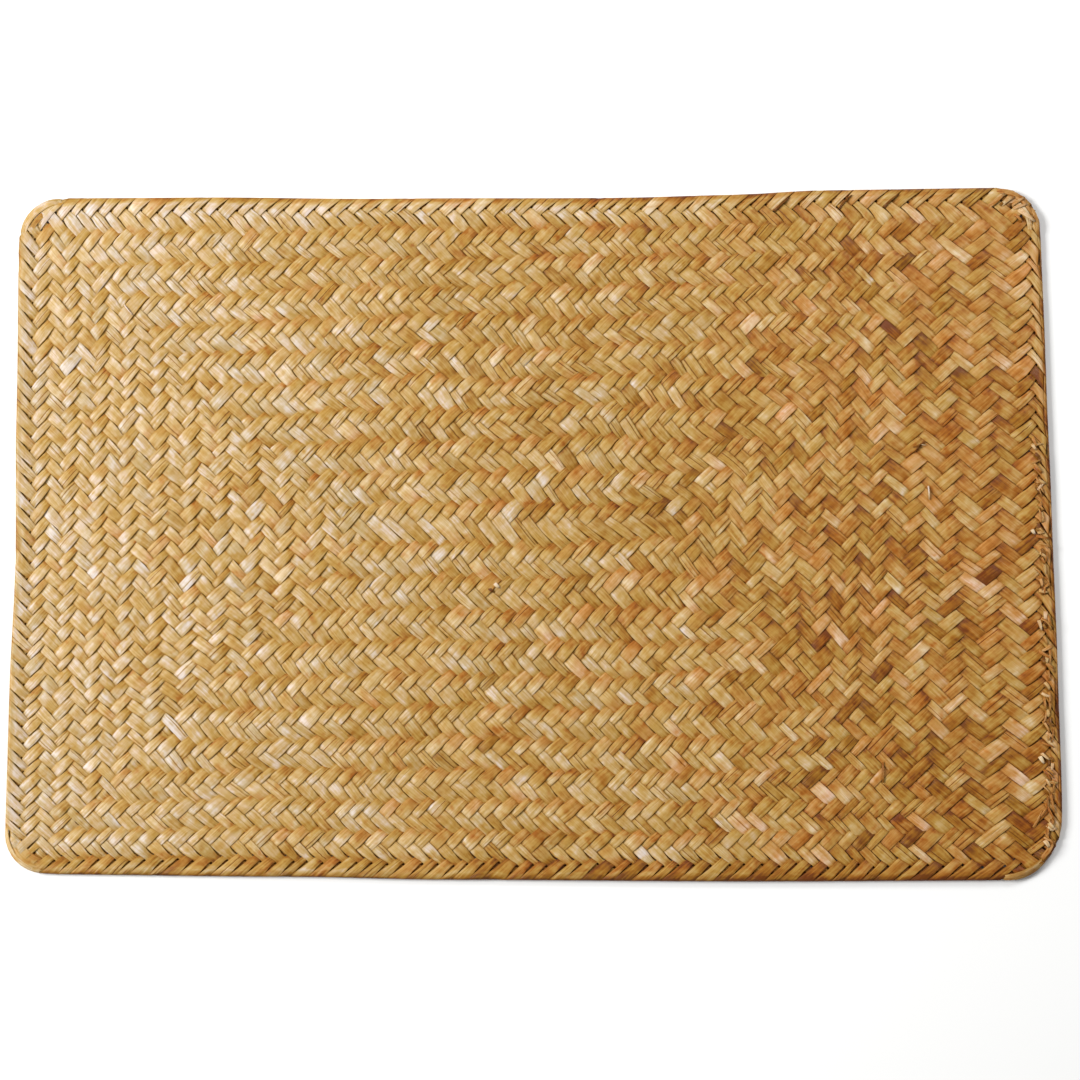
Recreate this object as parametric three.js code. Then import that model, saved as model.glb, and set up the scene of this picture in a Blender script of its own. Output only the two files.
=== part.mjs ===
// A flat table mat, plaited on the bias from flattened straw strips, lying on a table.
// Sizes are in millimetres. X runs along the long side, Y along the short side and Z up.
// The origin is under the middle of the mat, on the table.
// The mat is one solid: its rim is formed by the strips themselves, folded over the edge.

import * as THREE from 'three';

// Driving dimensions
const LENGTH = 450;
const WIDTH = 298.5;
const FIELD_THICKNESS = 2.6;
const RIM_THICKNESS = 3.0;
const RIM_WIDTH = 7;
const RIM_ROUNDING = 1.3;
const CORNER_RADIUS = { topRight: 18, topLeft: 20, bottomLeft: 19, bottomRight: 25 };

// How far each hand-plaited edge strays from a straight line.
// at: place along the edge, from its middle. out: bulge away from the mat, or inward if below zero.
const EDGE_BOW = {
  right: [
    { at: -149, out: 0.6 },
    { at: -112, out: 1.4 },
    { at: -60, out: 1.1 },
    { at: 10, out: 0.4 },
    { at: 60, out: -0.3 },
    { at: 149, out: -1.2 },
  ],
  top: [
    { at: -225, out: 1.3 },
    { at: -150, out: 0.8 },
    { at: -60, out: -0.9 },
    { at: 45, out: -1.8 },
    { at: 90, out: -1.1 },
    { at: 130, out: 0.4 },
    { at: 225, out: 0.6 },
  ],
  left: [
    { at: -149, out: 0.1 },
    { at: -70, out: 0 },
    { at: -15, out: -1.1 },
    { at: 50, out: 0.3 },
    { at: 149, out: 1.6 },
  ],
  bottom: [
    { at: -225, out: -1.9 },
    { at: -100, out: -0.9 },
    { at: -35, out: 0.2 },
    { at: 90, out: 0.7 },
    { at: 225, out: 0 },
  ],
};

// Fineness of the mesh
const LONG_SIDE_STEPS = 36;
const SHORT_SIDE_STEPS = 24;
const CORNER_STEPS = 8;
const ROUNDING_STEPS = 6;
const RIM_SLOPE_STEPS = 4;

// A smooth step from one row of an edge's table to the next.
function bowAt(rows, at) {
  if (at <= rows[0].at) {
    return rows[0].out;
  }
  for (let i = 1; i < rows.length; i += 1) {
    const before = rows[i - 1];
    const after = rows[i];
    if (at <= after.at) {
      const share = THREE.MathUtils.smoothstep(at, before.at, after.at);
      return THREE.MathUtils.lerp(before.out, after.out, share);
    }
  }
  return rows[rows.length - 1].out;
}

// Moves a point of the ideal rounded rectangle to where the uneven mat has it.
function uneven(x, y) {
  const sideways = x > 0 ? bowAt(EDGE_BOW.right, y) : -bowAt(EDGE_BOW.left, y);
  const upDown = y > 0 ? bowAt(EDGE_BOW.top, x) : -bowAt(EDGE_BOW.bottom, x);
  const shareX = Math.abs(x) / (LENGTH / 2);
  const shareY = Math.abs(y) / (WIDTH / 2);
  return new THREE.Vector2(x + sideways * shareX, y + upDown * shareY);
}

// One closed loop of the outline, moved inward by inset, anticlockwise from the right side.
function outline(inset) {
  const halfX = LENGTH / 2 - inset;
  const halfY = WIDTH / 2 - inset;
  const shrink = halfY / (WIDTH / 2);
  const corners = [
    { x: 1, y: 1, radius: CORNER_RADIUS.topRight, steps: LONG_SIDE_STEPS },
    { x: -1, y: 1, radius: CORNER_RADIUS.topLeft, steps: SHORT_SIDE_STEPS },
    { x: -1, y: -1, radius: CORNER_RADIUS.bottomLeft, steps: LONG_SIDE_STEPS },
    { x: 1, y: -1, radius: CORNER_RADIUS.bottomRight, steps: SHORT_SIDE_STEPS },
  ];
  const arcs = corners.map((corner, quarter) => {
    const radius = corner.radius * shrink;
    const centre = new THREE.Vector2(corner.x * (halfX - radius), corner.y * (halfY - radius));
    const arc = [];
    for (let step = 0; step <= CORNER_STEPS; step += 1) {
      const angle = (quarter + step / CORNER_STEPS) * (Math.PI / 2);
      const x = centre.x + radius * Math.cos(angle);
      const y = centre.y + radius * Math.sin(angle);
      arc.push(new THREE.Vector2(x, y));
    }
    return arc;
  });
  const loop = [];
  arcs.forEach((arc, quarter) => {
    const from = arc[CORNER_STEPS];
    const to = arcs[(quarter + 1) % arcs.length][0];
    const steps = corners[quarter].steps;
    loop.push(...arc);
    for (let step = 1; step < steps; step += 1) {
      loop.push(new THREE.Vector2().lerpVectors(from, to, step / steps));
    }
  });
  return loop.map((point) => uneven(point.x, point.y));
}

// The mat's section from the table outward round the rim and in to the field.
function section() {
  const rows = [];
  for (let step = 0; step <= ROUNDING_STEPS; step += 1) {
    const angle = (step / ROUNDING_STEPS - 0.5) * Math.PI;
    rows.push({
      inset: RIM_ROUNDING * (1 - Math.cos(angle)),
      height: (RIM_THICKNESS / 2) * (1 + Math.sin(angle)),
    });
  }
  for (let step = 1; step <= RIM_SLOPE_STEPS; step += 1) {
    const share = step / RIM_SLOPE_STEPS;
    const sink = THREE.MathUtils.smoothstep(share, 0, 1);
    rows.push({
      inset: THREE.MathUtils.lerp(RIM_ROUNDING, RIM_WIDTH, share),
      height: THREE.MathUtils.lerp(RIM_THICKNESS, FIELD_THICKNESS, sink),
    });
  }
  return rows;
}

function matGeometry() {
  const rings = section().map((row) => ({ points: outline(row.inset), height: row.height }));
  const count = rings[0].points.length;
  const positions = [];
  rings.forEach((ring) => {
    ring.points.forEach((point) => positions.push(point.x, point.y, ring.height));
  });
  const index = [];
  for (let ring = 0; ring + 1 < rings.length; ring += 1) {
    for (let i = 0; i < count; i += 1) {
      const next = (i + 1) % count;
      const low = ring * count;
      const high = low + count;
      index.push(low + i, low + next, high + next);
      index.push(low + i, high + next, high + i);
    }
  }
  // The flat underside and the flat field, each a fan round its middle point
  const undersideMiddle = positions.length / 3;
  positions.push(0, 0, rings[0].height);
  const fieldMiddle = positions.length / 3;
  positions.push(0, 0, FIELD_THICKNESS);
  const fieldRim = (rings.length - 1) * count;
  for (let i = 0; i < count; i += 1) {
    const next = (i + 1) % count;
    index.push(undersideMiddle, next, i);
    index.push(fieldMiddle, fieldRim + i, fieldRim + next);
  }

  const geometry = new THREE.BufferGeometry();
  geometry.setAttribute('position', new THREE.Float32BufferAttribute(positions, 3));
  geometry.setIndex(index);
  geometry.computeBoundingBox();
  const centre = geometry.boundingBox.getCenter(new THREE.Vector3());
  geometry.translate(-centre.x, -centre.y, -geometry.boundingBox.min.z);
  geometry.computeVertexNormals();
  return geometry;
}

const straw = new THREE.MeshStandardMaterial({
  name: 'plaited_straw',
  color: 0xc39a58,
  roughness: 0.55,
  metalness: 0,
});

const mat = new THREE.Mesh(matGeometry(), straw);
mat.name = 'mat';

const group = new THREE.Group();
group.name = 'placemat';
group.add(mat);

export default group;
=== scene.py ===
"""The looks of a flat table mat, plaited on the bias from flattened straw strips.

Rising strips run from lower left to upper right and falling strips from upper left to lower right.
Both families are numbered, and a crossing is named by its two numbers. Its column (their sum) and
its row (their difference) count half pitches, and each half pitch away from the middle line is one
ring of the concentric twill.
Lengths in the weave are in millimetres, and Blender's own units are metres.
"""

import math
from collections import namedtuple

import bpy
import numpy as np
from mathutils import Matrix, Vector


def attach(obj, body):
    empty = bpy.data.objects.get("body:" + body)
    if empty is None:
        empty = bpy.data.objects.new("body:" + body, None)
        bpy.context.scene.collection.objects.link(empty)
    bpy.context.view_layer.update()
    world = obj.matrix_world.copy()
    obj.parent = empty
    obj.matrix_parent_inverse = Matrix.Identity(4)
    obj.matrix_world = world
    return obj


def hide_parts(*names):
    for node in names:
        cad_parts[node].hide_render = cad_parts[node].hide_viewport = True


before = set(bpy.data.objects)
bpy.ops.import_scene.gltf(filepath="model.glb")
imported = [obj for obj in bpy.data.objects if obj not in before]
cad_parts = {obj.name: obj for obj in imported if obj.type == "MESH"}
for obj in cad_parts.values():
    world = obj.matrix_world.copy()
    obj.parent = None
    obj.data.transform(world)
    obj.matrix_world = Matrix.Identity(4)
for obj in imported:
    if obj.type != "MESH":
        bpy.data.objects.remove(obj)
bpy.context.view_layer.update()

MM = 0.001
rng = np.random.default_rng(4502985)

# The camera, fitted to the photograph
CAMERA_LENS = 70
CAMERA_SENSOR = 36
CAMERA_PLACE = (0.04653, -0.10712, 0.90396)
CAMERA_TURN = (0.113351, 0.045156, -0.000216)

# Counts of the weave, in half pitches: the rings above the middle line and beside its ends, the
# middle line's length, and the rings after which over and under repeat
TOP_RING = 44
SIDE_RING = 46
APEX_GAP = 38
FLOAT_PERIOD = 4
LEFT_COLUMN = -SIDE_RING
RIGHT_COLUMN = APEX_GAP + SIDE_RING

# The numbers of the first and the last strip, with a few to spare outside the mat
SPARE_STRIPS = 4
FIRST_STRIP = (LEFT_COLUMN - TOP_RING) // 2 - SPARE_STRIPS
LAST_STRIP = (RIGHT_COLUMN + TOP_RING) // 2 + SPARE_STRIPS + 1

# Sizes of the mat and its strips
HALF_LENGTH = 225
HALF_WIDTH = 149.25
MID_HEIGHT = 1.5
STRIP_THICKNESS = 0.5
LAYER_GAP = 0.66

# The right part of the mat, flatter than the rest: where it begins and is complete, along X
RIGHT_PART = (50, 130)

# The rim, where the strips fold over the edge and go back into the weave
RIM_LIFT = 0.7
WRAP_RADIUS = 1.0
FOLD_INSET = LAYER_GAP / 2 + RIM_LIFT + STRIP_THICKNESS / 2
TUCK_LENGTH = 8.0

# The tips of the tucks sink into the weave by this much, from this far along them
TUCK_SINK = 0.4
TUCK_SINK_FROM = 5


def smooth_step(value, low, high):
    """0 below low, 1 above high, and an even S curve between."""
    share = np.clip((np.asarray(value, float) - low) / (high - low), 0, 1)
    return share * share * (3 - 2 * share)


def make_camera():
    """The photograph's view: nearly straight down, from a little in front and to the right."""
    camera = bpy.data.objects.new("camera", bpy.data.cameras.new("camera"))
    camera.data.lens = CAMERA_LENS
    camera.data.sensor_width = CAMERA_SENSOR
    camera.location = CAMERA_PLACE
    camera.rotation_euler = CAMERA_TURN
    bpy.context.scene.collection.objects.link(camera)
    bpy.context.scene.camera = camera


make_camera()


# The outline

# How far the corners reach along the sides
CORNER_REACH = 22

# More than any side bows away from its straight line
LARGEST_BOW = 5

# How close to mid height the points of the outline lie
SAME_HEIGHT = 0.01

X_AXIS = 0
Y_AXIS = 1


def rim_points():
    """The mat's outline at mid height, in order, from the CAD solid."""
    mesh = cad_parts["mat"].data
    places = np.array([vertex.co[:] for vertex in mesh.vertices]) / MM
    rim = places[np.abs(places[:, 2] - MID_HEIGHT) < SAME_HEIGHT][:, :2]
    rim = np.unique(rim.round(3), axis=0)
    turn = np.arctan2(rim[:, 1] / HALF_WIDTH, rim[:, 0] / HALF_LENGTH)
    return rim[np.argsort(turn)]


def side_shift(points, along, across, ideal):
    """How far towards +X or +Y one side of the outline is off its straight line, by place along it."""
    limit = (HALF_LENGTH, HALF_WIDTH)[along] - CORNER_REACH
    side = points[(np.sign(ideal) * points[:, across] > 0) & (np.abs(points[:, along]) < limit)]
    side = side[np.abs(side[:, across] - ideal) < LARGEST_BOW]
    side = side[np.argsort(side[:, along])]
    return side[:, along], side[:, across] - ideal


RIM = rim_points()
TOP_SHIFT = side_shift(RIM, X_AXIS, Y_AXIS, HALF_WIDTH)
BOTTOM_SHIFT = side_shift(RIM, X_AXIS, Y_AXIS, -HALF_WIDTH)
LEFT_SHIFT = side_shift(RIM, Y_AXIS, X_AXIS, -HALF_LENGTH)
RIGHT_SHIFT = side_shift(RIM, Y_AXIS, X_AXIS, HALF_LENGTH)

# The distance is that outside the rim, and below zero inside it
RimPlace = namedtuple("RimPlace", "distance nearest outward")

# Points are measured in batches of this many, to save memory
BATCH = 20000

# Closer to the rim than this, the outward direction is taken from the rim's own edge
ON_THE_RIM = 0.02
TINY = 1e-9


def edge_distance(x, y):
    """How far outside the rim each point is, the rim's nearest point and its outward direction."""
    points = np.stack([x, y], axis=1)
    run = np.roll(RIM, -1, axis=0) - RIM
    span = (run**2).sum(axis=1)
    distance = np.empty(len(points))
    nearest = np.empty_like(points)
    outward = np.empty_like(points)
    for low in range(0, len(points), BATCH):
        batch = slice(low, low + BATCH)
        part = points[batch]
        offset = part[:, None, :] - RIM[None, :, :]
        share = ((offset * run).sum(axis=2) / span).clip(0, 1)
        gap = offset - share[:, :, None] * run
        length = np.hypot(gap[:, :, 0], gap[:, :, 1])
        best = length.argmin(axis=1)
        rows = np.arange(len(part))
        side = np.stack([run[best, 1], -run[best, 0]], axis=1) / np.sqrt(span[best])[:, None]
        step = gap[rows, best]
        sign = np.where((step * side).sum(axis=1) > 0, 1, -1)
        size = length[rows, best]
        away = step * sign[:, None] / np.maximum(size, TINY)[:, None]
        distance[batch] = size * sign
        nearest[batch] = part - step
        outward[batch] = np.where(size[:, None] > ON_THE_RIM, away, side)
    return RimPlace(distance, nearest, outward)


# The lattice of the crossings, and where it lies on the mat

COLUMN_PLACES = np.array(
    [
        # column, its x
        (-60, -269),
        (-46, -225),
        (-41.5, -210.8),
        (-29.5, -172.3),
        (-17.5, -130.4),
        (-9.5, -102),
        (-1.5, -74.7),
        (41.5, 73),
        (49.5, 101),
        (57.5, 128.7),
        (65.5, 154.6),
        (73.5, 185),
        (81.5, 219),
        (84, 225),
        (100, 267),
    ]
)
ROW_HEIGHTS = np.array(
    [
        # x, height of a half pitch at the middle row, height of the middle row
        (-225, 3.45, -10.5),
        (-175, 3.45, -6.0),
        (-70, 3.56, -0.3),
        (60, 3.56, 0.0),
        (175, 3.45, -1.5),
        (225, 3.45, -2.0),
    ]
)

# The crossings nearest the top rim lie a little higher, from one of these rows to the other
TOP_RIM_SHIFT = 1.2
TOP_RIM_ROWS = (37.5, 41.5)

# Sine waves for the wander of the lattice and for the stains, each with its turn along X and Y, its
# phase and, for the wander, its push along X and Y
PHASE_SPREAD = 9
WANDER_SIZE = 0.55
WANDER_TURN = 0.11
WANDER_WAVES = rng.uniform(-1, 1, (10, 5))
EDGE_POWER = 4
STAIN_TURN = 0.45
STAIN_TREND = 0.25
STAIN_LEVELS = (0.9, 2.4)
STAIN_WAVES = rng.uniform(-1, 1, (14, 3))


def wander(x, y):
    """Slow, uneven wander of the lattice, none at the edges."""
    sway_x = np.zeros_like(x)
    sway_y = np.zeros_like(x)
    for turn_x, turn_y, phase, push_x, push_y in WANDER_WAVES:
        wave = np.sin(WANDER_TURN * turn_x * x + WANDER_TURN * turn_y * y + PHASE_SPREAD * phase)
        sway_x += WANDER_SIZE * push_x * wave
        sway_y += WANDER_SIZE * push_y * wave
    inside_x = (1 - (x / HALF_LENGTH) ** EDGE_POWER).clip(0)
    inside_y = (1 - (y / HALF_WIDTH) ** EDGE_POWER).clip(0)
    inside = inside_x * inside_y
    return sway_x * inside, sway_y * inside


def lattice_point(column, row):
    """The place on the mat, in millimetres, of a point of the lattice."""
    x = np.interp(column, COLUMN_PLACES[:, 0], COLUMN_PLACES[:, 1])
    spacing, middle = (np.interp(x, ROW_HEIGHTS[:, 0], ROW_HEIGHTS[:, i]) for i in (1, 2))
    squeeze = (spacing * TOP_RING - HALF_WIDTH) / TOP_RING**3
    y = spacing * row - squeeze * row**3 + middle * (1 - (row / TOP_RING) ** 2)
    y = y + TOP_RIM_SHIFT * smooth_step(row, *TOP_RIM_ROWS)
    sway_x, sway_y = wander(x, y)
    x, y = x + sway_x, y + sway_y
    share_x = np.abs(x) / HALF_LENGTH
    share_y = np.abs(y) / HALF_WIDTH
    shift_x = np.where(x > 0, np.interp(y, *RIGHT_SHIFT), np.interp(y, *LEFT_SHIFT))
    shift_y = np.where(y > 0, np.interp(x, *TOP_SHIFT), np.interp(x, *BOTTOM_SHIFT))
    return x + shift_x * share_x, y + shift_y * share_y


# Stains and other marks on the straw

MARKS = np.array(
    [
        # x, y, radius, tone, tint: stains, greenish patches, paler places and painted highlights
        (-117.3, 95.2, 6.0, 0.08, 1.4),
        (-183.0, 47.6, 4.0, 0.05, 1.5),
        (-63.1, 16.6, 3.5, 0.2, 1.8),
        (-12.4, 11.1, 4.0, 0.1, 1.6),
        (6.7, 121.3, 7.0, 0.05, 1.3),
        (32.2, 131.8, 6.0, 0.1, 1.2),
        (181.6, 43.4, 5.0, 0.14, 0.6),
        (215.4, 44.0, 4.5, 0.14, -0.8),
        (201.0, 29.7, 5.5, 0.1, -0.6),
        (150.5, -40.4, 4.0, 0.08, 1.2),
        (195.1, -38.4, 4.0, 0.08, 1.2),
        (187.6, -13.1, 7.0, 0.08, 0.8),
        (206.9, -138.9, 3.2, 0.16, 1.4),
        (194.3, -142.3, 3.2, 0.06, 1.2),
        (207.6, -94.1, 3.5, 0.12, 1.3),
        (126.5, -48.0, 4.0, 0.05, 1.4),
        (-74.7, 4.9, 8.0, -0.05, -1.5),
        (199.0, -136.0, 12.0, -0.1, -0.6),
        (196.0, -75.0, 14.0, -0.06, -0.5),
        (-61.4, -19.2, 8.0, -0.03, -1.5),
        (-83.6, 18.1, 6.0, 0.05, -1.6),
        (-213.6, 134.0, 5.0, 0.08, 1.3),
        # The next four are painted highlights: the sheen on the lower left ends of rising floats
        (213.8, -32.9, 3.2, -0.3, -0.7),
        (211.5, -58.9, 3.0, -0.32, -0.9),
        (213.8, -83.1, 3.8, -0.34, -1.3),
        (213.0, -111.7, 3.8, -0.3, -1.2),
        (-190.7, -17.8, 2.8, -0.25, -0.8),
        (219.5, 118.0, 7.0, -0.16, 0.1),
        (219.5, 100.0, 7.0, -0.14, 0.1),
        (220.5, 80.0, 6.0, -0.12, -0.3),
        (221.0, 52.0, 6.0, -0.1, 0.2),
    ]
)


def marks_at(places):
    """The tone and tint that the marks on the straw add at each place."""
    offset = places[:, None, :] - MARKS[None, :, :2]
    weight = np.exp(-(offset**2).sum(axis=2) / MARKS[:, 2] ** 2)
    return weight @ MARKS[:, 3], weight @ MARKS[:, 4]


def stain_at(x, y):
    """Reddish brown stains, a few strips wide, more of them towards the right."""
    total = np.zeros_like(x)
    for turn_x, turn_y, phase in STAIN_WAVES:
        total += np.sin(STAIN_TURN * turn_x * x + STAIN_TURN * turn_y * y + PHASE_SPREAD * phase)
    level = total / math.sqrt(len(STAIN_WAVES)) + STAIN_TREND * x / HALF_LENGTH
    return smooth_step(level, *STAIN_LEVELS)


# The two families of strips

# How far a strip's edges stray and wander from their even places, in pitches, and the wander's rates
UNEVEN_EDGES = 0.19
WOBBLE = 0.05
WOBBLE_RATES = (0.15, 0.8)

# How high the floats of each family arch
RISING_CROWN = 0.26
FALLING_CROWN = 0.08

# How far the rim turns from a straight side before the strips that cross it squarely fold round it
CORNER_TURN = 0.12


def ring_of(column, row):
    """Which concentric ring a crossing lies in."""
    return np.maximum(np.abs(row), np.maximum(-column, column - APEX_GAP))


def rising_is_over(column, row):
    """Whether the rising strip lies on top at a crossing."""
    return ring_of(column, row) % FLOAT_PERIOD >= FLOAT_PERIOD // 2


class Family:
    """All strips of one direction: slope is 1 for the rising strips and -1 for the falling ones."""

    def __init__(self, slope, crown):
        self.slope = slope
        self.crown = crown
        count = LAST_STRIP - FIRST_STRIP + 2
        self.edge = rng.uniform(-UNEVEN_EDGES, UNEVEN_EDGES, count)
        self.wobble_phase = rng.uniform(0, 2 * math.pi, count)
        self.wobble_rate = rng.uniform(*WOBBLE_RATES, count)

    def boundary(self, strip, along):
        """The strip number, with its uneven fraction, of the line between strip - 1 and strip."""
        i = np.clip(np.asarray(strip) - FIRST_STRIP, 0, len(self.edge) - 1)
        wobble = WOBBLE * np.sin(self.wobble_rate[i] * along + self.wobble_phase[i])
        return strip - 0.5 + self.edge[i] + wobble

    def place(self, strip, along):
        """The point of the mat where a strip of this family is crossed by strip number along."""
        return lattice_point(strip + along, self.slope * (along - strip))

    def over(self, strip, along):
        """Whether a strip of this family lies on top where strip number along crosses it."""
        rising = rising_is_over(strip + along, self.slope * (along - strip))
        return rising if self.slope > 0 else not rising

    def wraps(self, x, y):
        """Whether this family folds round the rim where it leaves the mat at that point."""
        outward = edge_distance(np.array([x]), np.array([y])).outward[0]
        steepness = self.slope * outward[0] * outward[1]
        if abs(steepness) > CORNER_TURN:
            return steepness > 0
        return (abs(outward[0]) > abs(outward[1])) == (self.slope < 0)


RISING = Family(1, RISING_CROWN)
FALLING = Family(-1, FALLING_CROWN)


# The course of a strip: over and under the others, and round the rim

# Following a strip to its ends, in pitches: the step, the fewest steps that make a strip, and the most
# that a tucked end takes
TRACE_STEP = 0.1
FEWEST_STEPS = 8
MOST_TUCK_STEPS = 50

# How many strips a folded end stays on top of before it first dives
RIM_FLOAT = 3

# Where a strip changes sides: how far from the line between two crossing strips, in pitches,
# it is still fully under, half way and fully over. On the way its side is this, between -1 and 1
UNDER_GAP = 0.26
HALF_GAP = 0.09
OVER_GAP = 0.3
HALF_WAY_SIDE = 0.25

# Lengths between cross-sections, in pitches
OVER_STEP = 0.47
UNDER_STEP = 0.8
FOLD_STEP = 0.14
FOLD_STEPS = 7
SHORTEST_STEP = 0.05

# A float's arch grows with its length, in pitches, up to a tallest one
FULL_ARCH_LENGTH = 1.4
TALLEST_ARCH = 1.15
SHORTEST_ARCH = 0.1

End = namedtuple("End", "tip fold wraps")


def reach(family, strip):
    """The two ends of a strip: where its tip is, where it meets the rim and whether it folds round it."""
    fine = np.arange(FIRST_STRIP, LAST_STRIP + 1, TRACE_STEP)
    distance = edge_distance(*family.place(strip, fine)).distance
    inside = np.flatnonzero(distance < -FOLD_INSET)
    if len(inside) < FEWEST_STEPS:
        return None
    ends = []
    for first, step in ((inside[0], -1), (inside[-1], 1)):
        wraps = family.wraps(*family.place(strip, fine[first]))
        limit = TUCK_LENGTH if wraps else -FOLD_INSET
        at = first
        while 0 < at < len(fine) - 1 and distance[at] < limit and abs(at - first) < MOST_TUCK_STEPS:
            at += step
        ends.append(End(fine[at], fine[first], wraps))
    return ends


def stretch(start, stop, step):
    """Evenly spaced places from start to stop, about step apart."""
    return np.linspace(start, stop, max(1, round(abs(stop - start) / step)) + 1)


def sides_along(family, strip, start, end):
    """The first and last strip that a strip crosses, and whether it is on top at each of them."""
    first, last = math.ceil(start.tip), math.floor(end.tip)
    over = {t: family.over(strip, t) for t in range(first - 1, last + 2)}
    for t in range(first - 1, first + (RIM_FLOAT if start.wraps else 0)):
        over[t] = start.wraps
    for t in range(last + 1 - (RIM_FLOAT if end.wraps else 0), last + 2):
        over[t] = end.wraps
    return first, last, over


def strip_marks(family, other, strip, ends):
    """A row for each cross-section of a strip.

    It holds the place along the strip, the side of the mat (1 on top, -1 under), the arch, the
    slant (-0.5 to 0.5 along a float) and the number of its float.
    """
    start, end = ends
    first, last, over = sides_along(family, strip, start, end)
    changes = [t for t in range(first, last + 1) if over[t] != over[t - 1]]
    marks = []
    here = start.tip
    for number, change in enumerate(changes + [None]):
        up = over[(last + 2 if change is None else change) - 1]
        side = 1 if up else -1
        if change is None:
            stop = end.tip
        else:
            line = float(other.boundary(change, strip))
            stop = line - (OVER_GAP if up else UNDER_GAP)
        places = stretch(here, stop, OVER_STEP if up else UNDER_STEP)
        if number == 0 and start.wraps:
            turn = start.fold - FOLD_STEP * np.arange(FOLD_STEPS, -1, -1)
            turn = turn[turn > start.tip + SHORTEST_STEP]
            places = np.concatenate([[start.tip], turn, stretch(start.fold, stop, OVER_STEP)[1:]])
        elif change is None and end.wraps:
            turn = end.fold + FOLD_STEP * np.arange(FOLD_STEPS + 1)
            turn = turn[turn < end.tip - SHORTEST_STEP]
            places = np.concatenate([stretch(here, end.fold, OVER_STEP)[:-1], turn, [end.tip]])
        low, high = max(here, start.fold), min(stop, end.fold)
        fullness = min((high - low) / FULL_ARCH_LENGTH, TALLEST_ARCH) * side
        for place in places:
            share = min(max((place - low) / max(high - low, SHORTEST_ARCH), 0), 1)
            marks.append((place, side, 4 * share * (1 - share) * fullness, share - 0.5, number))
        if change is not None:
            halfway = line - HALF_GAP if up else line + HALF_GAP
            marks.append((halfway, HALF_WAY_SIDE, 0, side / 2, number + (not up)))
            here = line + (UNDER_GAP if up else OVER_GAP)
    return np.array(marks)


# Bands along the rim: from where to where something changes, in millimetres outside the outline

FOLD_RISE = (-10, -3)
FIELD_END = (-9, -4)
SKEW_BAND = (-6.5, -2.5)
SHINGLE_START = (-9, -5)
SHINGLE_END = (-4.5, -1.2)
GAPS_START = (-11, -8)
# The fold's painted shade, and the rim's painted light and shade
PAINTED_SHADE_BAND = (-3.2, -1.2)
PAINTED_LIGHT_BAND = (-10, -7)
# Painted shade that grows from just inside the edge round the fold
PAINTED_FOLD_SHADE_BAND = (-1.2, 0.4)

# The same for the outer end of the gaps, but in millimetres inside the outline
GAPS_END_INSIDE = (1.5, 4.5)


def fold_over_rim(x, y, height):
    """Bends flat places round the rim: what lies past the edge goes down and under the mat."""
    distance, nearest, outward = edge_distance(x, y)
    height = height + RIM_LIFT * smooth_step(distance, *FOLD_RISE)
    height = height - TUCK_SINK * smooth_step(distance, TUCK_SINK_FROM, TUCK_LENGTH)
    past = (distance + FOLD_INSET).clip(0)
    angle = (past / WRAP_RADIUS).clip(0, math.pi)
    tucked = (past - math.pi * WRAP_RADIUS).clip(0)
    out = -FOLD_INSET + height * np.sin(angle) - tucked
    folded = past > 0
    x = np.where(folded, nearest[:, 0] + outward[:, 0] * out, x)
    y = np.where(folded, nearest[:, 1] + outward[:, 1] * out, y)
    return x, y, MID_HEIGHT + np.where(folded, height * np.cos(angle), height)


# The strips as meshes

SECTION = np.array(
    [
        # across the strip, up from its middle
        (-1.0, 0.0),
        (-0.94, 1.0),
        (0.94, 1.0),
        (1.0, 0.0),
        (0.94, -1.0),
        (-0.94, -1.0),
    ]
)

# The points at the ends of the section's flat top and bottom, and how much of their roundness is left
TOP_PAIR = [1, 2]
BOTTOM_PAIR = [4, 5]
ROUNDNESS = 0.3

# Each strip's grain is cut from another part of the noise
SEED_RANGE = (0, 100)

# Half of the width that a strip takes up in its lane of the flat map
HALF_LANE = 0.42

# A split this far across lies outside of the strip, so that none shows
NO_SPLIT = 9


def flatten_shading(mesh):
    """Turns the normals across each strip's flat sides nearly parallel, so that it looks pressed."""
    sides = len(SECTION)
    normals = np.empty(len(mesh.vertices) * 3)
    mesh.vertices.foreach_get("normal", normals)
    normals = normals.reshape(-1, sides, 3)
    for pair in (TOP_PAIR, BOTTOM_PAIR):
        middle = normals[:, pair].mean(axis=1, keepdims=True)
        normals[:, pair] = middle + ROUNDNESS * (normals[:, pair] - middle)
    normals = normals.reshape(-1, 3)
    normals /= np.linalg.norm(normals, axis=1, keepdims=True)
    mesh.normals_split_custom_set_from_vertices(normals.tolist())


def add_attribute(mesh, name, kind, key, values):
    """A value of the given kind for each point of a mesh, for the material to read."""
    attribute = mesh.attributes.new(name, kind, "POINT")
    attribute.data.foreach_set(key, values.ravel())


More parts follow.
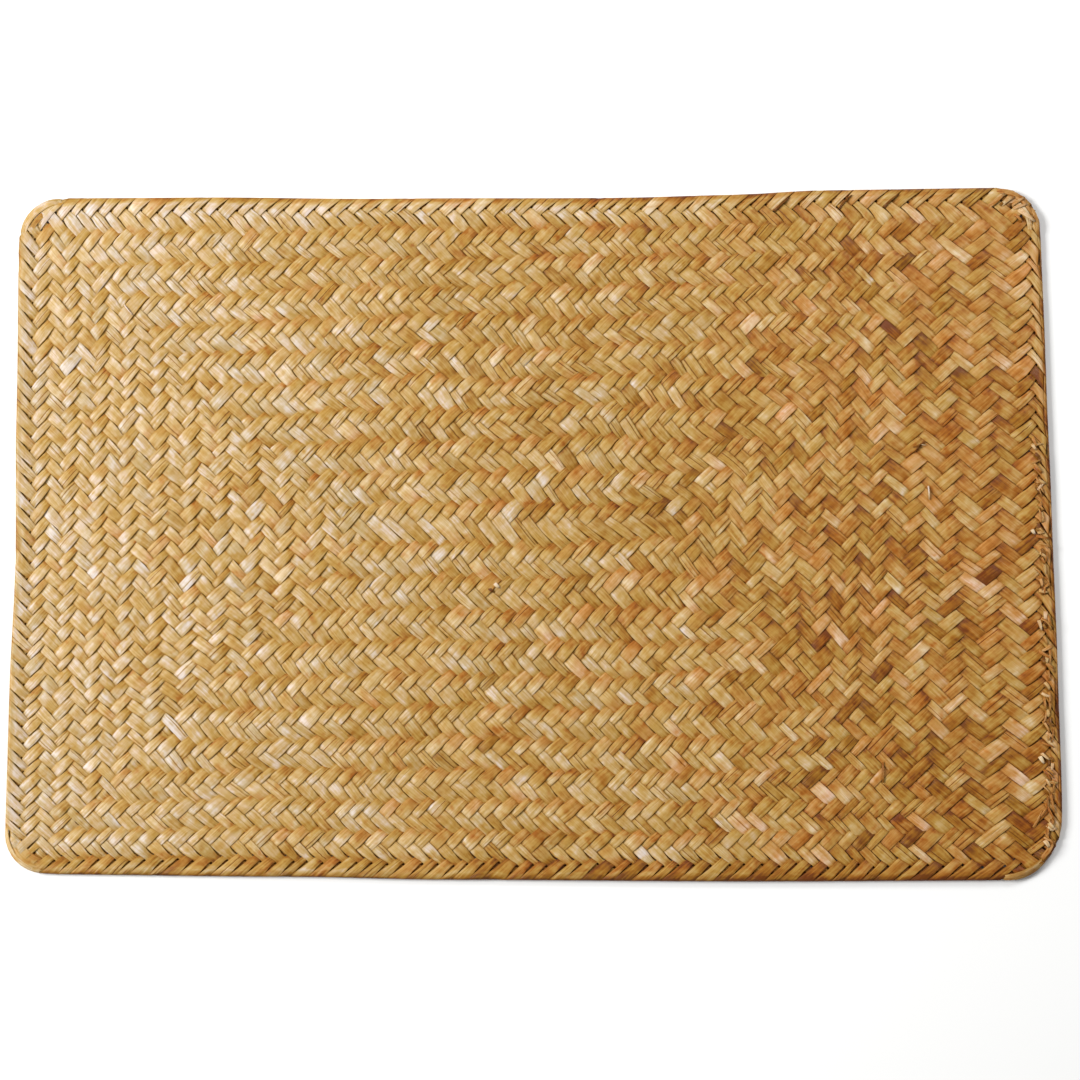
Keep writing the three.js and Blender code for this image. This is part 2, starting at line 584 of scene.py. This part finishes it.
class Ribbons:
    """Collects flattened closed tubes, one for each strip, for one mesh."""

    def __init__(self):
        self.points = []
        self.looks = []
        self.places = []
        self.splits = []
        self.faces = []
        self.lengths = []
        self.count = 0

    def add(self, centre, half, height, roll, tone, tint, split, dive):
        """One strip, with a row of centre and half for each of its cross-sections.

        centre is the middle of a cross-section, and half goes from there to its far side. height is
        above the mat's middle, roll lifts the far side, split is where across it the straw has split,
        and the last argument is the painted shade that darkens it, from 0 on top to 1 under another
        strip.
        """
        across, up = SECTION.T
        sides = len(SECTION)
        steps = len(centre)
        run = np.hypot(*np.diff(centre, axis=0).T)
        length = np.concatenate([[0], np.cumsum(run)])
        x = centre[:, None, 0] + half[:, None, 0] * across
        y = centre[:, None, 1] + half[:, None, 1] * across
        z = height[:, None] + up * STRIP_THICKNESS / 2 + np.reshape(roll, (-1, 1)) * across
        seed = np.full(steps, rng.uniform(*SEED_RANGE))
        look = np.stack([np.full(steps, tone), np.full(steps, tint), seed], axis=1)
        place = np.empty((steps, sides, 3))
        place[:, :, 0] = length[:, None]
        place[:, :, 1] = across
        # The third number of each place is the painted shade
        place[:, :, 2] = dive[:, None]
        self.points.append(np.stack([x.ravel(), y.ravel(), z.ravel()], axis=1))
        self.looks.append(np.repeat(look, sides, axis=0))
        self.places.append(place.reshape(-1, 3))
        self.splits.append(np.repeat(np.full(steps, split), sides))
        self.lengths.append(length[-1])
        self.add_faces(steps, sides)

    def add_faces(self, steps, sides):
        """The faces round a strip, and one across each end."""
        for step in range(steps - 1):
            low = self.count + step * sides
            for side in range(sides):
                after = (side + 1) % sides
                self.faces.append((low + side, low + after, low + sides + after, low + sides + side))
        self.faces.append(tuple(range(self.count + sides - 1, self.count - 1, -1)))
        self.count += steps * sides
        self.faces.append(tuple(range(self.count - sides, self.count)))

    def lanes(self):
        """The place of each point on a flat map, where every strip has a lane of its own."""
        rows = []
        for order, strip_place in enumerate(self.places):
            row = np.empty((len(strip_place), 2))
            row[:, 0] = strip_place[:, 0] / max(self.lengths)
            row[:, 1] = (order + 0.5 + HALF_LANE * strip_place[:, 1]) / len(self.places)
            rows.append(row)
        return np.concatenate(rows)

    def piece(self, name):
        """The mesh, folded round the rim, with the attributes that the straw material reads."""
        points = np.stack(fold_over_rim(*np.concatenate(self.points).T), axis=1)
        mesh = bpy.data.meshes.new(name)
        mesh.from_pydata((points * MM).tolist(), [], self.faces)
        add_attribute(mesh, "strip_look", "FLOAT_VECTOR", "vector", np.concatenate(self.looks))
        add_attribute(mesh, "strip_place", "FLOAT_VECTOR", "vector", np.concatenate(self.places))
        add_attribute(mesh, "strip_split", "FLOAT", "value", np.concatenate(self.splits))
        corner = np.empty(len(mesh.loops), np.int32)
        mesh.loops.foreach_get("vertex_index", corner)
        mesh.uv_layers.new(name="OFBake").data.foreach_set("uv", self.lanes()[corner].ravel())
        mesh.shade_smooth()
        mesh.validate()
        flatten_shading(mesh)
        piece = bpy.data.objects.new(name, mesh)
        bpy.context.scene.collection.objects.link(piece)
        return piece


# The weave

# Width: the share of its pitch that a strip fills, and how much less it fills behind the fold, in the
# right part of the mat and, elsewhere, at the right end of a float
STRIP_FILL = 1.02
RIM_GAPS = 0.175
RIGHT_GAPS = 0.045
FLOAT_TAPER = 0.14
TAPERED_PART = (-0.1, 0.5)

# Relief: how far floats lean from end to end, puff up and roll at random
LEAN = 0.12
PUFF = (0.75, 1.25)
ROLL = 0.09

# Strips also lie like shingles, with one edge raised, at the rim and in the field
RIM_SHINGLE = 0.16
FIELD_SHINGLE = 0.12

# In the right part the floats arch less, by this share, and the shingles are steeper by this share
RIGHT_FLATTER = 0.4
RIGHT_STEEPER = 0.4

# Tone, higher for darker straw: its spread among strips and among floats, and how much darker and
# more varied it is at the right end of the mat than in the middle
STRIP_TONES = 0.05
FLOAT_TONES = 0.072
TONE_TREND = 0.135
CONTRAST_TREND = 0.55

# How much darker rising strips, stains and dark floats are, and how much paler pale floats are
FAMILY_TONE = 0.015
STAIN_TONE = 0.12
DARK_TONE = 0.17
PALE_TONE = 0.1

# The fold is darker by painted shade, and along the long sides more so by this share. The whole rim
# has painted light and shade: a little paler on the left and right, paler along the top, as much darker
# along the bottom
RIM_PAINTED_SHADE = 0.17
LONG_SIDE_PAINTED_SHADE = 0.5
SIDE_PAINTED_LIGHT = 0.045
TOP_PAINTED_LIGHT = 0.15

# Tint, from greenish cream below zero to orange red above it: its spread among strips and among floats,
# and how much redder the right end of the mat is than the middle
STRIP_TINTS = 0.35
FLOAT_TINTS = 0.38
# The creamier left end is partly the straw's own colour and partly painted sheen
TINT_TREND = 0.75

# How much redder stains are and how much greener pale floats are
STAIN_TINT = 0.8
PALE_TINT = 0.35

# Outside the right part, in the sectors along the top and the bottom, rising strips are redder and
# falling ones greener. A sector begins and is complete so many half pitches from the diagonal
FAMILY_TINT = 0.3
SECTOR_EDGE = (-4, 4)

# Painted light and shade along the floats: outside the right part rising floats are paler at their left
# end and darken towards their right end, and in it falling floats darken towards their left end, by so
# many times as much, against the shading that the lamps give them there
PAINTED_FLOAT_LIGHT = 0.14
RIGHT_PAINTED_FLOAT_LIGHT = -1.6

# Painted sheen and shade along the floats: outside the right part all floats redden towards their right
# end. Left of this slant they are greener than the rest of the strip's look makes them, and right of it
# redder
PAINTED_FLOAT_TINT = 1.25
PAINTED_TINT_MIDDLE = 0.25

# Which shares of the floats are dark, pale or split, and from where to where across them they split
DARK_SHARE = 0.01
PALE_SHARE = 0.015
SPLIT_SHARE = 0.13
SPLIT_PLACES = (-0.5, 0.5)


class StripSections:
    """The cross-sections of one strip, and in which parts of the mat each of them lies."""

    def __init__(self, family, other, strip, ends):
        along, self.side, self.arch, self.slant, number = strip_marks(family, other, strip, ends).T
        self.number = number.astype(int)
        self.floats = int(self.number.max()) + 1
        self.rim = edge_distance(*family.place(np.full_like(along, strip), along))
        squareness = self.rim.outward[:, 0] ** 2 - self.rim.outward[:, 1] ** 2
        skew = squareness * smooth_step(self.rim.distance, *SKEW_BAND) / 2
        near = np.stack(family.place(family.boundary(strip, along), along + skew), axis=1)
        far = np.stack(family.place(family.boundary(strip + 1, along), along - skew), axis=1)
        self.centre = (near + far) / 2
        self.half = (far - near) / 2
        self.right_part = smooth_step(self.centre[:, 0], *RIGHT_PART)
        self.rightward = self.centre[:, 0] / HALF_LENGTH
        self.field = 1 - smooth_step(self.rim.distance, *FIELD_END)
        # Where floats get painted light and shade along their length, and where they taper
        self.fade = (1 - self.right_part) * (self.side > 0)
        column, row = strip + along, along - strip
        sideways = np.maximum(-column, column - APEX_GAP)
        self.striped = (1 - self.right_part) * smooth_step(np.abs(row) - sideways, *SECTOR_EDGE)


def strip_fill(sections):
    """The share of its pitch that a strip fills at each cross-section."""
    distance = sections.rim.distance
    gaps = RIM_GAPS * smooth_step(distance, *GAPS_START) * smooth_step(-distance, *GAPS_END_INSIDE)
    taper = FLOAT_TAPER * sections.fade * sections.field * smooth_step(sections.slant, *TAPERED_PART)
    return STRIP_FILL - gaps - (RIGHT_GAPS * sections.right_part + taper)


def strip_relief(family, sections):
    """The height of each cross-section above the mat's middle, and how far its far side is lifted."""
    number, field, distance = sections.number, sections.field, sections.rim.distance
    lean = rng.normal(0, LEAN, sections.floats)[number] * field
    puff = rng.uniform(*PUFF, sections.floats)[number]
    crown = family.crown * (1 - RIGHT_FLATTER * sections.right_part)
    height = sections.side * LAYER_GAP / 2 + sections.arch * crown * puff + sections.slant * lean
    roll = rng.normal(0, ROLL, sections.floats)[number] * sections.side.clip(0) * field
    rim_part = smooth_step(distance, *SHINGLE_START) * (1 - smooth_step(distance, *SHINGLE_END))
    field_part = field * (1 + RIGHT_STEEPER * sections.right_part)
    return height, roll + family.slope * RIM_SHINGLE * rim_part + FIELD_SHINGLE * field_part


def strip_colours(family, sections):
    """The tone and tint of each cross-section: those of its float, what its place adds, and painted light
    and shade.
    """
    number, floats, rightward = sections.number, sections.floats, sections.rightward
    distance, outward = sections.rim.distance, sections.rim.outward
    stain = stain_at(*sections.centre.T)
    pale = (rng.random(floats) < PALE_SHARE)[number]
    dark = (rng.random(floats) < DARK_SHARE)[number]

    tone = (rng.normal(0, STRIP_TONES) + rng.normal(0, FLOAT_TONES, floats))[number]
    tone = tone * (1 + CONTRAST_TREND * rightward) + TONE_TREND * rightward
    tone += FAMILY_TONE * family.slope
    # Painted shade on the fold, more of it along the long sides
    painted_fold_shade = RIM_PAINTED_SHADE * (1 + LONG_SIDE_PAINTED_SHADE * np.abs(outward[:, 1]))
    tone += painted_fold_shade * smooth_step(distance, *PAINTED_SHADE_BAND)
    # Painted light and shade on the rim: paler left, right and top, darker at the bottom
    painted_rim_light = SIDE_PAINTED_LIGHT * np.abs(outward[:, 0]) + TOP_PAINTED_LIGHT * outward[:, 1]
    tone -= painted_rim_light * smooth_step(distance, *PAINTED_LIGHT_BAND)
    # Painted light and shade along each float
    painted_light_part = sections.fade if family.slope > 0 else RIGHT_PAINTED_FLOAT_LIGHT * sections.right_part
    tone += PAINTED_FLOAT_LIGHT * sections.slant * painted_light_part

    tint = (rng.normal(0, STRIP_TINTS) + rng.normal(0, FLOAT_TINTS, floats))[number]
    # Painted sheen towards each float's left end and painted shade towards its right end
    painted_tint_shift = PAINTED_FLOAT_TINT * (sections.slant - PAINTED_TINT_MIDDLE) * sections.fade
    tint += painted_tint_shift + FAMILY_TINT * family.slope * sections.striped

    mark_tone, mark_tint = marks_at(sections.centre)
    tone = tone + mark_tone + STAIN_TONE * stain + DARK_TONE * dark - PALE_TONE * pale
    tint = tint + mark_tint + STAIN_TINT * stain - PALE_TINT * pale + TINT_TREND * rightward
    return tone, tint


def random_splits(sections):
    """Where across each float its straw has split, if it has."""
    is_split = rng.random(sections.floats) < SPLIT_SHARE
    places = rng.uniform(*SPLIT_PLACES, sections.floats)
    return np.where(is_split, places, NO_SPLIT)[sections.number]


def weave_family(family, other, name):
    """One mesh of all the strips of a family."""
    ribbons = Ribbons()
    for strip in range(FIRST_STRIP + 1, LAST_STRIP):
        ends = reach(family, strip)
        if ends is None:
            continue
        sections = StripSections(family, other, strip, ends)
        height, roll = strip_relief(family, sections)
        tone, tint = strip_colours(family, sections)
        ribbons.add(
            centre=sections.centre,
            half=sections.half * strip_fill(sections)[:, None],
            height=height,
            roll=roll,
            tone=tone,
            tint=tint,
            split=random_splits(sections),
            # Painted shade: darker under another strip and round the fold
            dive=(1 - sections.side) / 2 + smooth_step(sections.rim.distance, *PAINTED_FOLD_SHADE_BAND),
        )
    return ribbons.piece(name)


rising = weave_family(RISING, FALLING, "rising_strips")
falling = weave_family(FALLING, RISING, "falling_strips")


# Strips that end or turn at the rim

CORNER_RADIUS = 20
EDGE_STRIPS = [
    # corner, first and last angle of the arc, inset from the edge, width, lift, tone, tint
    ((-1, 1), 118, 164, 4.8, 2.4, 0.3, 0.04, 0.3),
    ((-1, 1), 94, 170, 1.7, 3.2, 0.6, -0.12, -0.9),
    ((-1, -1), 194, 258, 4.2, 5.4, 0.45, 0.05, 0.4),
    ((-1, -1), 166, 266, 0.9, 1.7, 0.5, -0.18, -0.3),
    ((1, 1), 92, 48, 1.9, 2.2, 0.4, 0.14, 1.4),
    ((1, 1), 72, 24, 2.6, 1.4, 0.55, 0.06, 1.3),
    ((1, 1), 62, 0, 4.6, 2.4, 0.6, -0.2, 0.1),
    ((1, 1), 40, -6, 1.6, 1.6, 0.45, 0.1, 0.9),
    ((1, -1), -8, -46, 2.2, 2.0, 0.45, 0.06, 1.4),
    ((1, -1), -36, -110, 1.2, 2.6, 0.65, 0.02, 0.6),
]
LOOSE_ENDS = [
    # x, y, turn in degrees, length, width, lift, tone, tint
    # The dark ends with a tone of 0.45 or more and a tint below zero stand for shaded gaps and holes:
    # painted shadow
    (-176.3, 98.8, -50, 6.5, 0.5, 0.8, -0.4, -1.0),
    (205.4, 143.5, 40, 8.3, 1.7, 0.7, -0.02, 1.3),
    (207.4, 142.2, 40, 2.0, 1.2, 0.4, 0.45, -0.6),
    (209.8, 143.5, 31, 6.5, 1.6, 0.8, -0.2, 0.0),
    (210.8, 141.6, 40, 2.0, 1.1, 0.4, 0.45, -0.6),
    (214.3, 143.0, 28, 6.3, 1.5, 0.8, -0.05, 1.2),
    (215.4, 140.8, 14, 6.2, 1.4, 0.9, -0.08, 1.1),
    (217.9, 136.6, -40, 8.9, 2.0, 1.1, -0.25, 0.4),
    (214.4, 135.8, -47, 4.9, 1.2, 0.7, 0.15, 1.7),
    (151.4, -104.3, -91, 8.8, 0.9, 0.6, 0.3, 1.2),
    (169.5, 36.0, 27, 5.5, 0.5, 0.9, 0.45, 1.0),
    (168.6, 34.6, 60, 4.0, 0.4, 0.9, 0.5, 0.5),
    (171.0, 36.0, -10, 3.0, 0.4, 0.7, -0.4, -0.5),
    (173.2, 15.2, -88, 6.0, 0.6, 0.9, -0.35, -0.6),
    (-15.4, -26.0, -45, 2.4, 1.6, 0.35, 0.5, -0.4),
    (-12.8, -24.2, -40, 3.0, 1.7, 0.6, -0.3, -0.5),
    (217.2, -2.0, -60, 2.4, 1.6, 0.6, -0.3, -0.6),
    (218.2, -99.1, -60, 3.4, 1.8, 0.6, -0.3, -0.2),
    (219.6, -130.2, 70, 3.2, 1.8, 0.5, 0.5, -0.5),
    (221.4, -126.8, -55, 3.2, 1.8, 0.7, -0.3, -0.3),
    (219.4, -134.2, -60, 3.4, 2.0, 0.6, -0.25, 0.2),
    (216.0, -124.0, 62, 8.0, 1.2, 0.6, 0.1, 1.6),
    (218.2, -121.2, 55, 7.0, 1.0, 0.7, 0.2, 1.9),
    (221.0, -121.0, -65, 8.0, 1.0, 0.8, 0.22, 1.9),
    (222.0, -117.0, -80, 9.0, 1.0, 0.7, 0.14, 1.8),
]
TOP_RIM_SHADOW_STRIPS = [
    # the same columns: dark strips laid in the deeply shaded gaps between the strips of the top rim, as
    # painted shadow
    (111.8, 143.2, 41, 9.0, 1.1, 0.4, 0.6, -0.3),
    (139.3, 144.1, 47, 8.0, 0.9, 0.4, 0.6, -0.3),
    (159.2, 144.2, 40, 8.5, 0.9, 0.5, 0.6, -0.3),
]

# The tucks of the right rim: from where to where along it, how far apart and how far inside its edge
TUCKS_FROM = -128
TUCKS_TO = 34
TUCK_SPACING = 14.4
TUCK_INSET = 5.0

# The kinds of ragged ends round each tuck. A pair of numbers is a range that the value is drawn from,
# and the spread is that of the turn
RaggedEnds = namedtuple("RaggedEnds", "count across along turn spread length width lift tone tint")
RAGGED_ENDS = [
    # The first kind are dark ends for the shaded holes between the tucks: painted shadow
    RaggedEnds(2, (-0.9, 0.9), (-2.5, 2.5), -60, 25, (2, 4.5), (0.9, 1.7), 0.35, 0.5, -0.2),
    RaggedEnds(4, (-1.6, 1.8), (-7, 7), -68, 30, (3, 7), (0.6, 1.3), 0.6, (0.05, 0.3), (1, 2)),
    RaggedEnds(2, (-2.0, 1.2), (-6, 6), -50, 40, (3, 5), (1.0, 1.7), 0.5, (-0.26, -0.04), (0, 1.2)),
]

# A strip round a corner is laid out along an arc. Towards its ends it narrows to this share of its
# width, goes down into the weave by this much and is darkened by this much painted shade
GUIDE_RADIUS = 16
CURVE_STEPS = 12
END_WIDTH = 0.6
END_DIVE = 0.5
END_PAINTED_SHADE = 0.3

# A loose end bends by up to this many degrees in all, loses this share of its width towards its tip
# and rolls by up to this much. Its lift follows the sine of this part of a half turn
STUB_STEPS = 5
STUB_BEND = 14
STUB_TAPER = 0.5
STUB_ROLL = 0.15
STUB_RISE = 0.8


def add_edge_strip(ribbons, corner, first, last, inset, width, lift, tone, tint):
    """A strip that follows the rim round a corner, on top of the others, and dives in at both ends."""
    angle = np.radians(np.linspace(first, last, CURVE_STEPS))
    x = corner[0] * (HALF_LENGTH - CORNER_RADIUS) + GUIDE_RADIUS * np.cos(angle)
    y = corner[1] * (HALF_WIDTH - CORNER_RADIUS) + GUIDE_RADIUS * np.sin(angle)
    rim = edge_distance(x, y)
    arch = np.sin(np.linspace(0, math.pi, CURVE_STEPS)) ** 0.5
    half_width = (END_WIDTH + (1 - END_WIDTH) * arch) * width / 2
    ribbons.add(
        centre=rim.nearest - inset * rim.outward,
        half=-rim.outward * np.reshape(half_width, (-1, 1)) * np.sign(last - first),
        height=LAYER_GAP / 2 - END_DIVE + (lift + END_DIVE) * arch,
        roll=0,
        tone=tone,
        tint=tint,
        split=NO_SPLIT,
        dive=END_PAINTED_SHADE * (1 - arch),
    )


def add_stub(ribbons, x, y, turn, length, width, lift, tone, tint):
    """A short loose end, lying on the mat."""
    share = np.linspace(0, 1, STUB_STEPS)
    heading = np.radians(turn + STUB_BEND * rng.uniform(-1, 1) * (share - 0.5))
    along = np.stack([np.cos(heading), np.sin(heading)], axis=1)
    side = np.stack([-along[:, 1], along[:, 0]], axis=1)
    half_width = (1 - STUB_TAPER * share**2) * width / 2
    ribbons.add(
        centre=np.array([x, y]) + along * np.reshape((share - 0.5) * length, (-1, 1)),
        half=side * np.reshape(half_width, (-1, 1)),
        height=LAYER_GAP / 2 + RISING_CROWN + lift * np.sin(STUB_RISE * math.pi * share),
        roll=rng.uniform(-STUB_ROLL, STUB_ROLL),
        tone=tone,
        tint=tint,
        split=NO_SPLIT,
        dive=np.zeros(len(share)),
    )


def pick(value):
    """The value itself, or a number drawn from it where it is a range."""
    return rng.uniform(*value) if isinstance(value, tuple) else value


def add_ragged_ends(ribbons):
    """Groups of ragged ends along the right rim, where the strips are tucked in; the dark ones are
    painted shadow in the holes there.
    """
    for tuck in np.arange(TUCKS_FROM, TUCKS_TO, TUCK_SPACING):
        line = np.interp(tuck, *RIGHT_SHIFT) + HALF_LENGTH - TUCK_INSET
        for kind in RAGGED_ENDS:
            for repeat in range(kind.count):
                x, y = line + pick(kind.across), tuck + pick(kind.along)
                tone, tint = pick(kind.tone), pick(kind.tint)
                turn = rng.normal(kind.turn, kind.spread)
                add_stub(ribbons, x, y, turn, pick(kind.length), pick(kind.width), kind.lift, tone, tint)


def make_loose_ends_and_shadow_strips():
    """The strips of the rim's corners, the loose ends, and dark strips of painted shadow in the rim's
    gaps.
    """
    ribbons = Ribbons()
    for row in EDGE_STRIPS:
        add_edge_strip(ribbons, *row)
    for row in LOOSE_ENDS:
        add_stub(ribbons, *row)
    add_ragged_ends(ribbons)
    for row in TOP_RIM_SHADOW_STRIPS:
        add_stub(ribbons, *row)
    return ribbons.piece("loose_ends_and_shadow_strips")


loose_ends_and_shadow_strips = make_loose_ends_and_shadow_strips()


# The straw

STRAW_TONES = [
    # level, colour
    (0.0, (0.71, 0.53, 0.34)),
    (0.3, (0.52, 0.325, 0.12)),
    (0.5, (0.43, 0.235, 0.048)),
    (0.75, (0.30, 0.12, 0.008)),
    (1.0, (0.14, 0.04, 0.001)),
]
STRAW_TINTS = [
    # greenish cream, cream, yellow, golden, peach, orange red
    (0.0, (0.92, 1.07, 1.5)),
    (0.2, (0.97, 1.04, 1.35)),
    (0.38, (0.98, 1.04, 1.06)),
    (0.55, (1.0, 1.0, 1.0)),
    (0.75, (1.03, 0.93, 1.05)),
    (1.0, (1.06, 0.81, 0.75)),
]

# Grains of the straw: how fast each varies across a strip and along it, and its detail
STREAKS = (2.6, 0.06, 2.0)
FIBRES = (9.0, 0.12, 2.0)
MOTTLE = (0.6, 0.26, 2.0)
SPOTS = (0.7, 0.3, 1.0)
SPOT_LEVEL = 0.1

# Half the width of a crack, across a strip whose half width is 1
CRACK_WIDTH = 0.07

# The power by which the look of a strip's edges grows from its middle outwards
EDGE_SHARPNESS = 10.0

# What each part of the look adds to the darkness, the redness, the roughness and the streaks' relief
DARKENING = {
    "streaks": 0.68,
    "fibres": 0.3,
    "mottle": 0.7,
    "spots": 0.7,
    # Darker under other strips and round the fold: painted shade
    "dive": 0.3,
    "crack": 0.45,
    # Darker edges: painted shade in the grooves between neighbouring strips
    "edge": 0.15,
}
REDDENING = {"mottle": 3.0, "spots": 7.0}
ROUGHENING = {"edge": 0.35, "dive": 0.25, "streaks": 0.3}
RELIEF = {"fibres": 0.6, "crack": -0.45}

# Where a tone and a tint of zero lie between the first and the last colour, and the step of a tint
MIDDLE_TONE = 0.43
MIDDLE_TINT = 0.5
TINT_STEP = 0.25

DRYNESS = 0.42
SPECULAR_LEVEL = 0.28
BUMP_STRENGTH = 0.7
BUMP_DEPTH = 0.4 * MM

# The colour sockets of a Mix node, which share their names with its other sockets
MIX_COLOURS = (6, 7)
MIX_RESULT = 2


class Nodes:
    """Short calls for building a material's node tree."""

    def __init__(self, material):
        material.use_nodes = True
        self.tree = material.node_tree
        self.tree.nodes.clear()

    def feed(self, socket, value):
        """Links another node's output to a socket, or sets a plain value on it."""
        if isinstance(value, bpy.types.NodeSocket):
            self.tree.links.new(value, socket)
        else:
            socket.default_value = value

    def add(self, kind, settings=None, **inputs):
        """A node with its settings and its named inputs, whose spaces are written as underscores."""
        node = self.tree.nodes.new(kind)
        for key, value in (settings or {}).items():
            setattr(node, key, value)
        for key, value in inputs.items():
            self.feed(node.inputs[key.replace("_", " ")], value)
        return node

    def math(self, operation, first, second=0.0, third=0.0):
        """The result of a Math node, for up to three numbers or outputs."""
        node = self.add("ShaderNodeMath", {"operation": operation})
        for socket, value in zip(node.inputs, (first, second, third)):
            self.feed(socket, value)
        return node.outputs[0]

    def add_weighted(self, total, parts, weights):
        """The total and, for each weight, the part of that name times the weight."""
        for name, weight in weights.items():
            total = self.math("MULTIPLY_ADD", parts[name], weight, total)
        return total

    def attribute(self, name):
        """The outputs of the mesh attribute of that name."""
        return self.add("ShaderNodeAttribute", {"attribute_name": name}).outputs

    def three_numbers(self, name):
        """The three numbers of a mesh attribute, each as an output of its own."""
        vector = self.attribute(name)["Vector"]
        return self.add("ShaderNodeSeparateXYZ", Vector=vector).outputs

    def noise(self, vector, detail):
        """Noise from 0 to 1 whose features are about as large as one unit of the vector."""
        return self.add("ShaderNodeTexNoise", Vector=vector, Scale=1.0, Detail=detail).outputs[0]

    def ramp(self, value, stops):
        """The colour between the stops, each a place and a colour, that the value reaches."""
        node = self.add("ShaderNodeValToRGB", Fac=value)
        elements = node.color_ramp.elements
        while len(elements) < len(stops):
            elements.new(0.5)
        for element, (place, colour) in zip(elements, stops):
            element.position = place
            element.color = (*colour, 1)
        return node.outputs[0]

    def multiply_colours(self, first, second):
        """One colour times the other."""
        node = self.add("ShaderNodeMix", {"data_type": "RGBA", "blend_type": "MULTIPLY"}, Factor=1.0)
        for index, colour in zip(MIX_COLOURS, (first, second)):
            self.feed(node.inputs[index], colour)
        return node.outputs[MIX_RESULT]


def straw_material():
    """Dry straw: golden, olive and reddish strips, fine fibres along each one, a dull waxy sheen."""
    material = bpy.data.materials.new("straw")
    nodes = Nodes(material)
    tone, tint, seed = nodes.three_numbers("strip_look")
    # The third number is the painted shade of each point
    along, across, dive = nodes.three_numbers("strip_place")
    split = nodes.attribute("strip_split")["Fac"]

    def grain(crosswise, lengthwise, detail):
        """Noise from -0.5 to 0.5, stretched along the strip and different on each one."""
        point = nodes.add(
            "ShaderNodeCombineXYZ",
            X=nodes.math("MULTIPLY", across, crosswise),
            Y=nodes.math("MULTIPLY", along, lengthwise),
            Z=seed,
        )
        return nodes.math("SUBTRACT", nodes.noise(point.outputs[0], detail), 0.5)

    spots = nodes.math("SUBTRACT", grain(*SPOTS), SPOT_LEVEL)
    gap = nodes.math("ABSOLUTE", nodes.math("SUBTRACT", across, split))
    parts = {
        "streaks": grain(*STREAKS),
        "fibres": grain(*FIBRES),
        "mottle": grain(*MOTTLE),
        "spots": nodes.math("MAXIMUM", spots, 0.0),
        "dive": dive,
        "crack": nodes.math("LESS_THAN", gap, CRACK_WIDTH),
        "edge": nodes.math("POWER", nodes.math("ABSOLUTE", across), EDGE_SHARPNESS),
    }
    level = nodes.add_weighted(nodes.math("ADD", tone, MIDDLE_TONE), parts, DARKENING)
    redness = nodes.add_weighted(tint, parts, REDDENING)
    cast = nodes.ramp(nodes.math("MULTIPLY_ADD", redness, TINT_STEP, MIDDLE_TINT), STRAW_TINTS)
    relief = nodes.add_weighted(parts["streaks"], parts, RELIEF)
    bump = nodes.add("ShaderNodeBump", Strength=BUMP_STRENGTH, Distance=BUMP_DEPTH, Height=relief)
    shader = nodes.add(
        "ShaderNodeBsdfPrincipled",
        Base_Color=nodes.multiply_colours(nodes.ramp(level, STRAW_TONES), cast),
        Roughness=nodes.add_weighted(DRYNESS, parts, ROUGHENING),
        Normal=bump.outputs[0],
        Specular_IOR_Level=SPECULAR_LEVEL,
    )
    nodes.add("ShaderNodeOutputMaterial", Surface=shader.outputs[0])
    return material


straw = straw_material()
for piece in (rising, falling, loose_ends_and_shadow_strips):
    piece.data.materials.append(straw)
    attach(piece, "root")
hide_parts("mat")


# Floor and light

FLOOR_REACH = 3
FLOOR_COLOUR = (0.93, 0.93, 0.92, 1)
FLOOR_ROUGHNESS = 0.9
LIGHTS = [
    # name, place, size, power
    ("key_light", (-1.52, 0.22, 1.15), (0.8, 0.8), 49),
    ("window_light", (0.6, 1.0, 0.85), (0.7, 0.4), 9),
]
SKY_COLOUR = (1, 1, 1, 1)
SKY_STRENGTH = 0.27


def make_floor():
    """A pale floor under the mat, well past the edges of the picture."""
    mesh = bpy.data.meshes.new("floor")
    corners = [(x * FLOOR_REACH, y * FLOOR_REACH, 0) for x, y in ((-1, -1), (1, -1), (1, 1), (-1, 1))]
    mesh.from_pydata(corners, [], [(0, 1, 2, 3)])
    floor = bpy.data.objects.new("floor", mesh)
    bpy.context.scene.collection.objects.link(floor)
    material = bpy.data.materials.new("pale_floor")
    nodes = Nodes(material)
    shader = nodes.add("ShaderNodeBsdfPrincipled", Base_Color=FLOOR_COLOUR, Roughness=FLOOR_ROUGHNESS)
    nodes.add("ShaderNodeOutputMaterial", Surface=shader.outputs[0])
    mesh.materials.append(material)


def make_light(name, place, size, power):
    """A rectangular lamp that points at the middle of the mat."""
    light = bpy.data.objects.new(name, bpy.data.lights.new(name, "AREA"))
    light.data.shape = "RECTANGLE"
    light.data.size, light.data.size_y = size
    light.data.energy = power
    light.location = place
    light.rotation_euler = (-Vector(place)).to_track_quat("-Z", "Y").to_euler()
    bpy.context.scene.collection.objects.link(light)


def make_world():
    """Even light from all round."""
    world = bpy.data.worlds.new("studio")
    world.use_nodes = True
    background = world.node_tree.nodes["Background"]
    background.inputs["Color"].default_value = SKY_COLOUR
    background.inputs["Strength"].default_value = SKY_STRENGTH
    bpy.context.scene.world = world


make_floor()
for row in LIGHTS:
    make_light(*row)
make_world()
bpy.context.scene.view_settings.view_transform = "Standard"
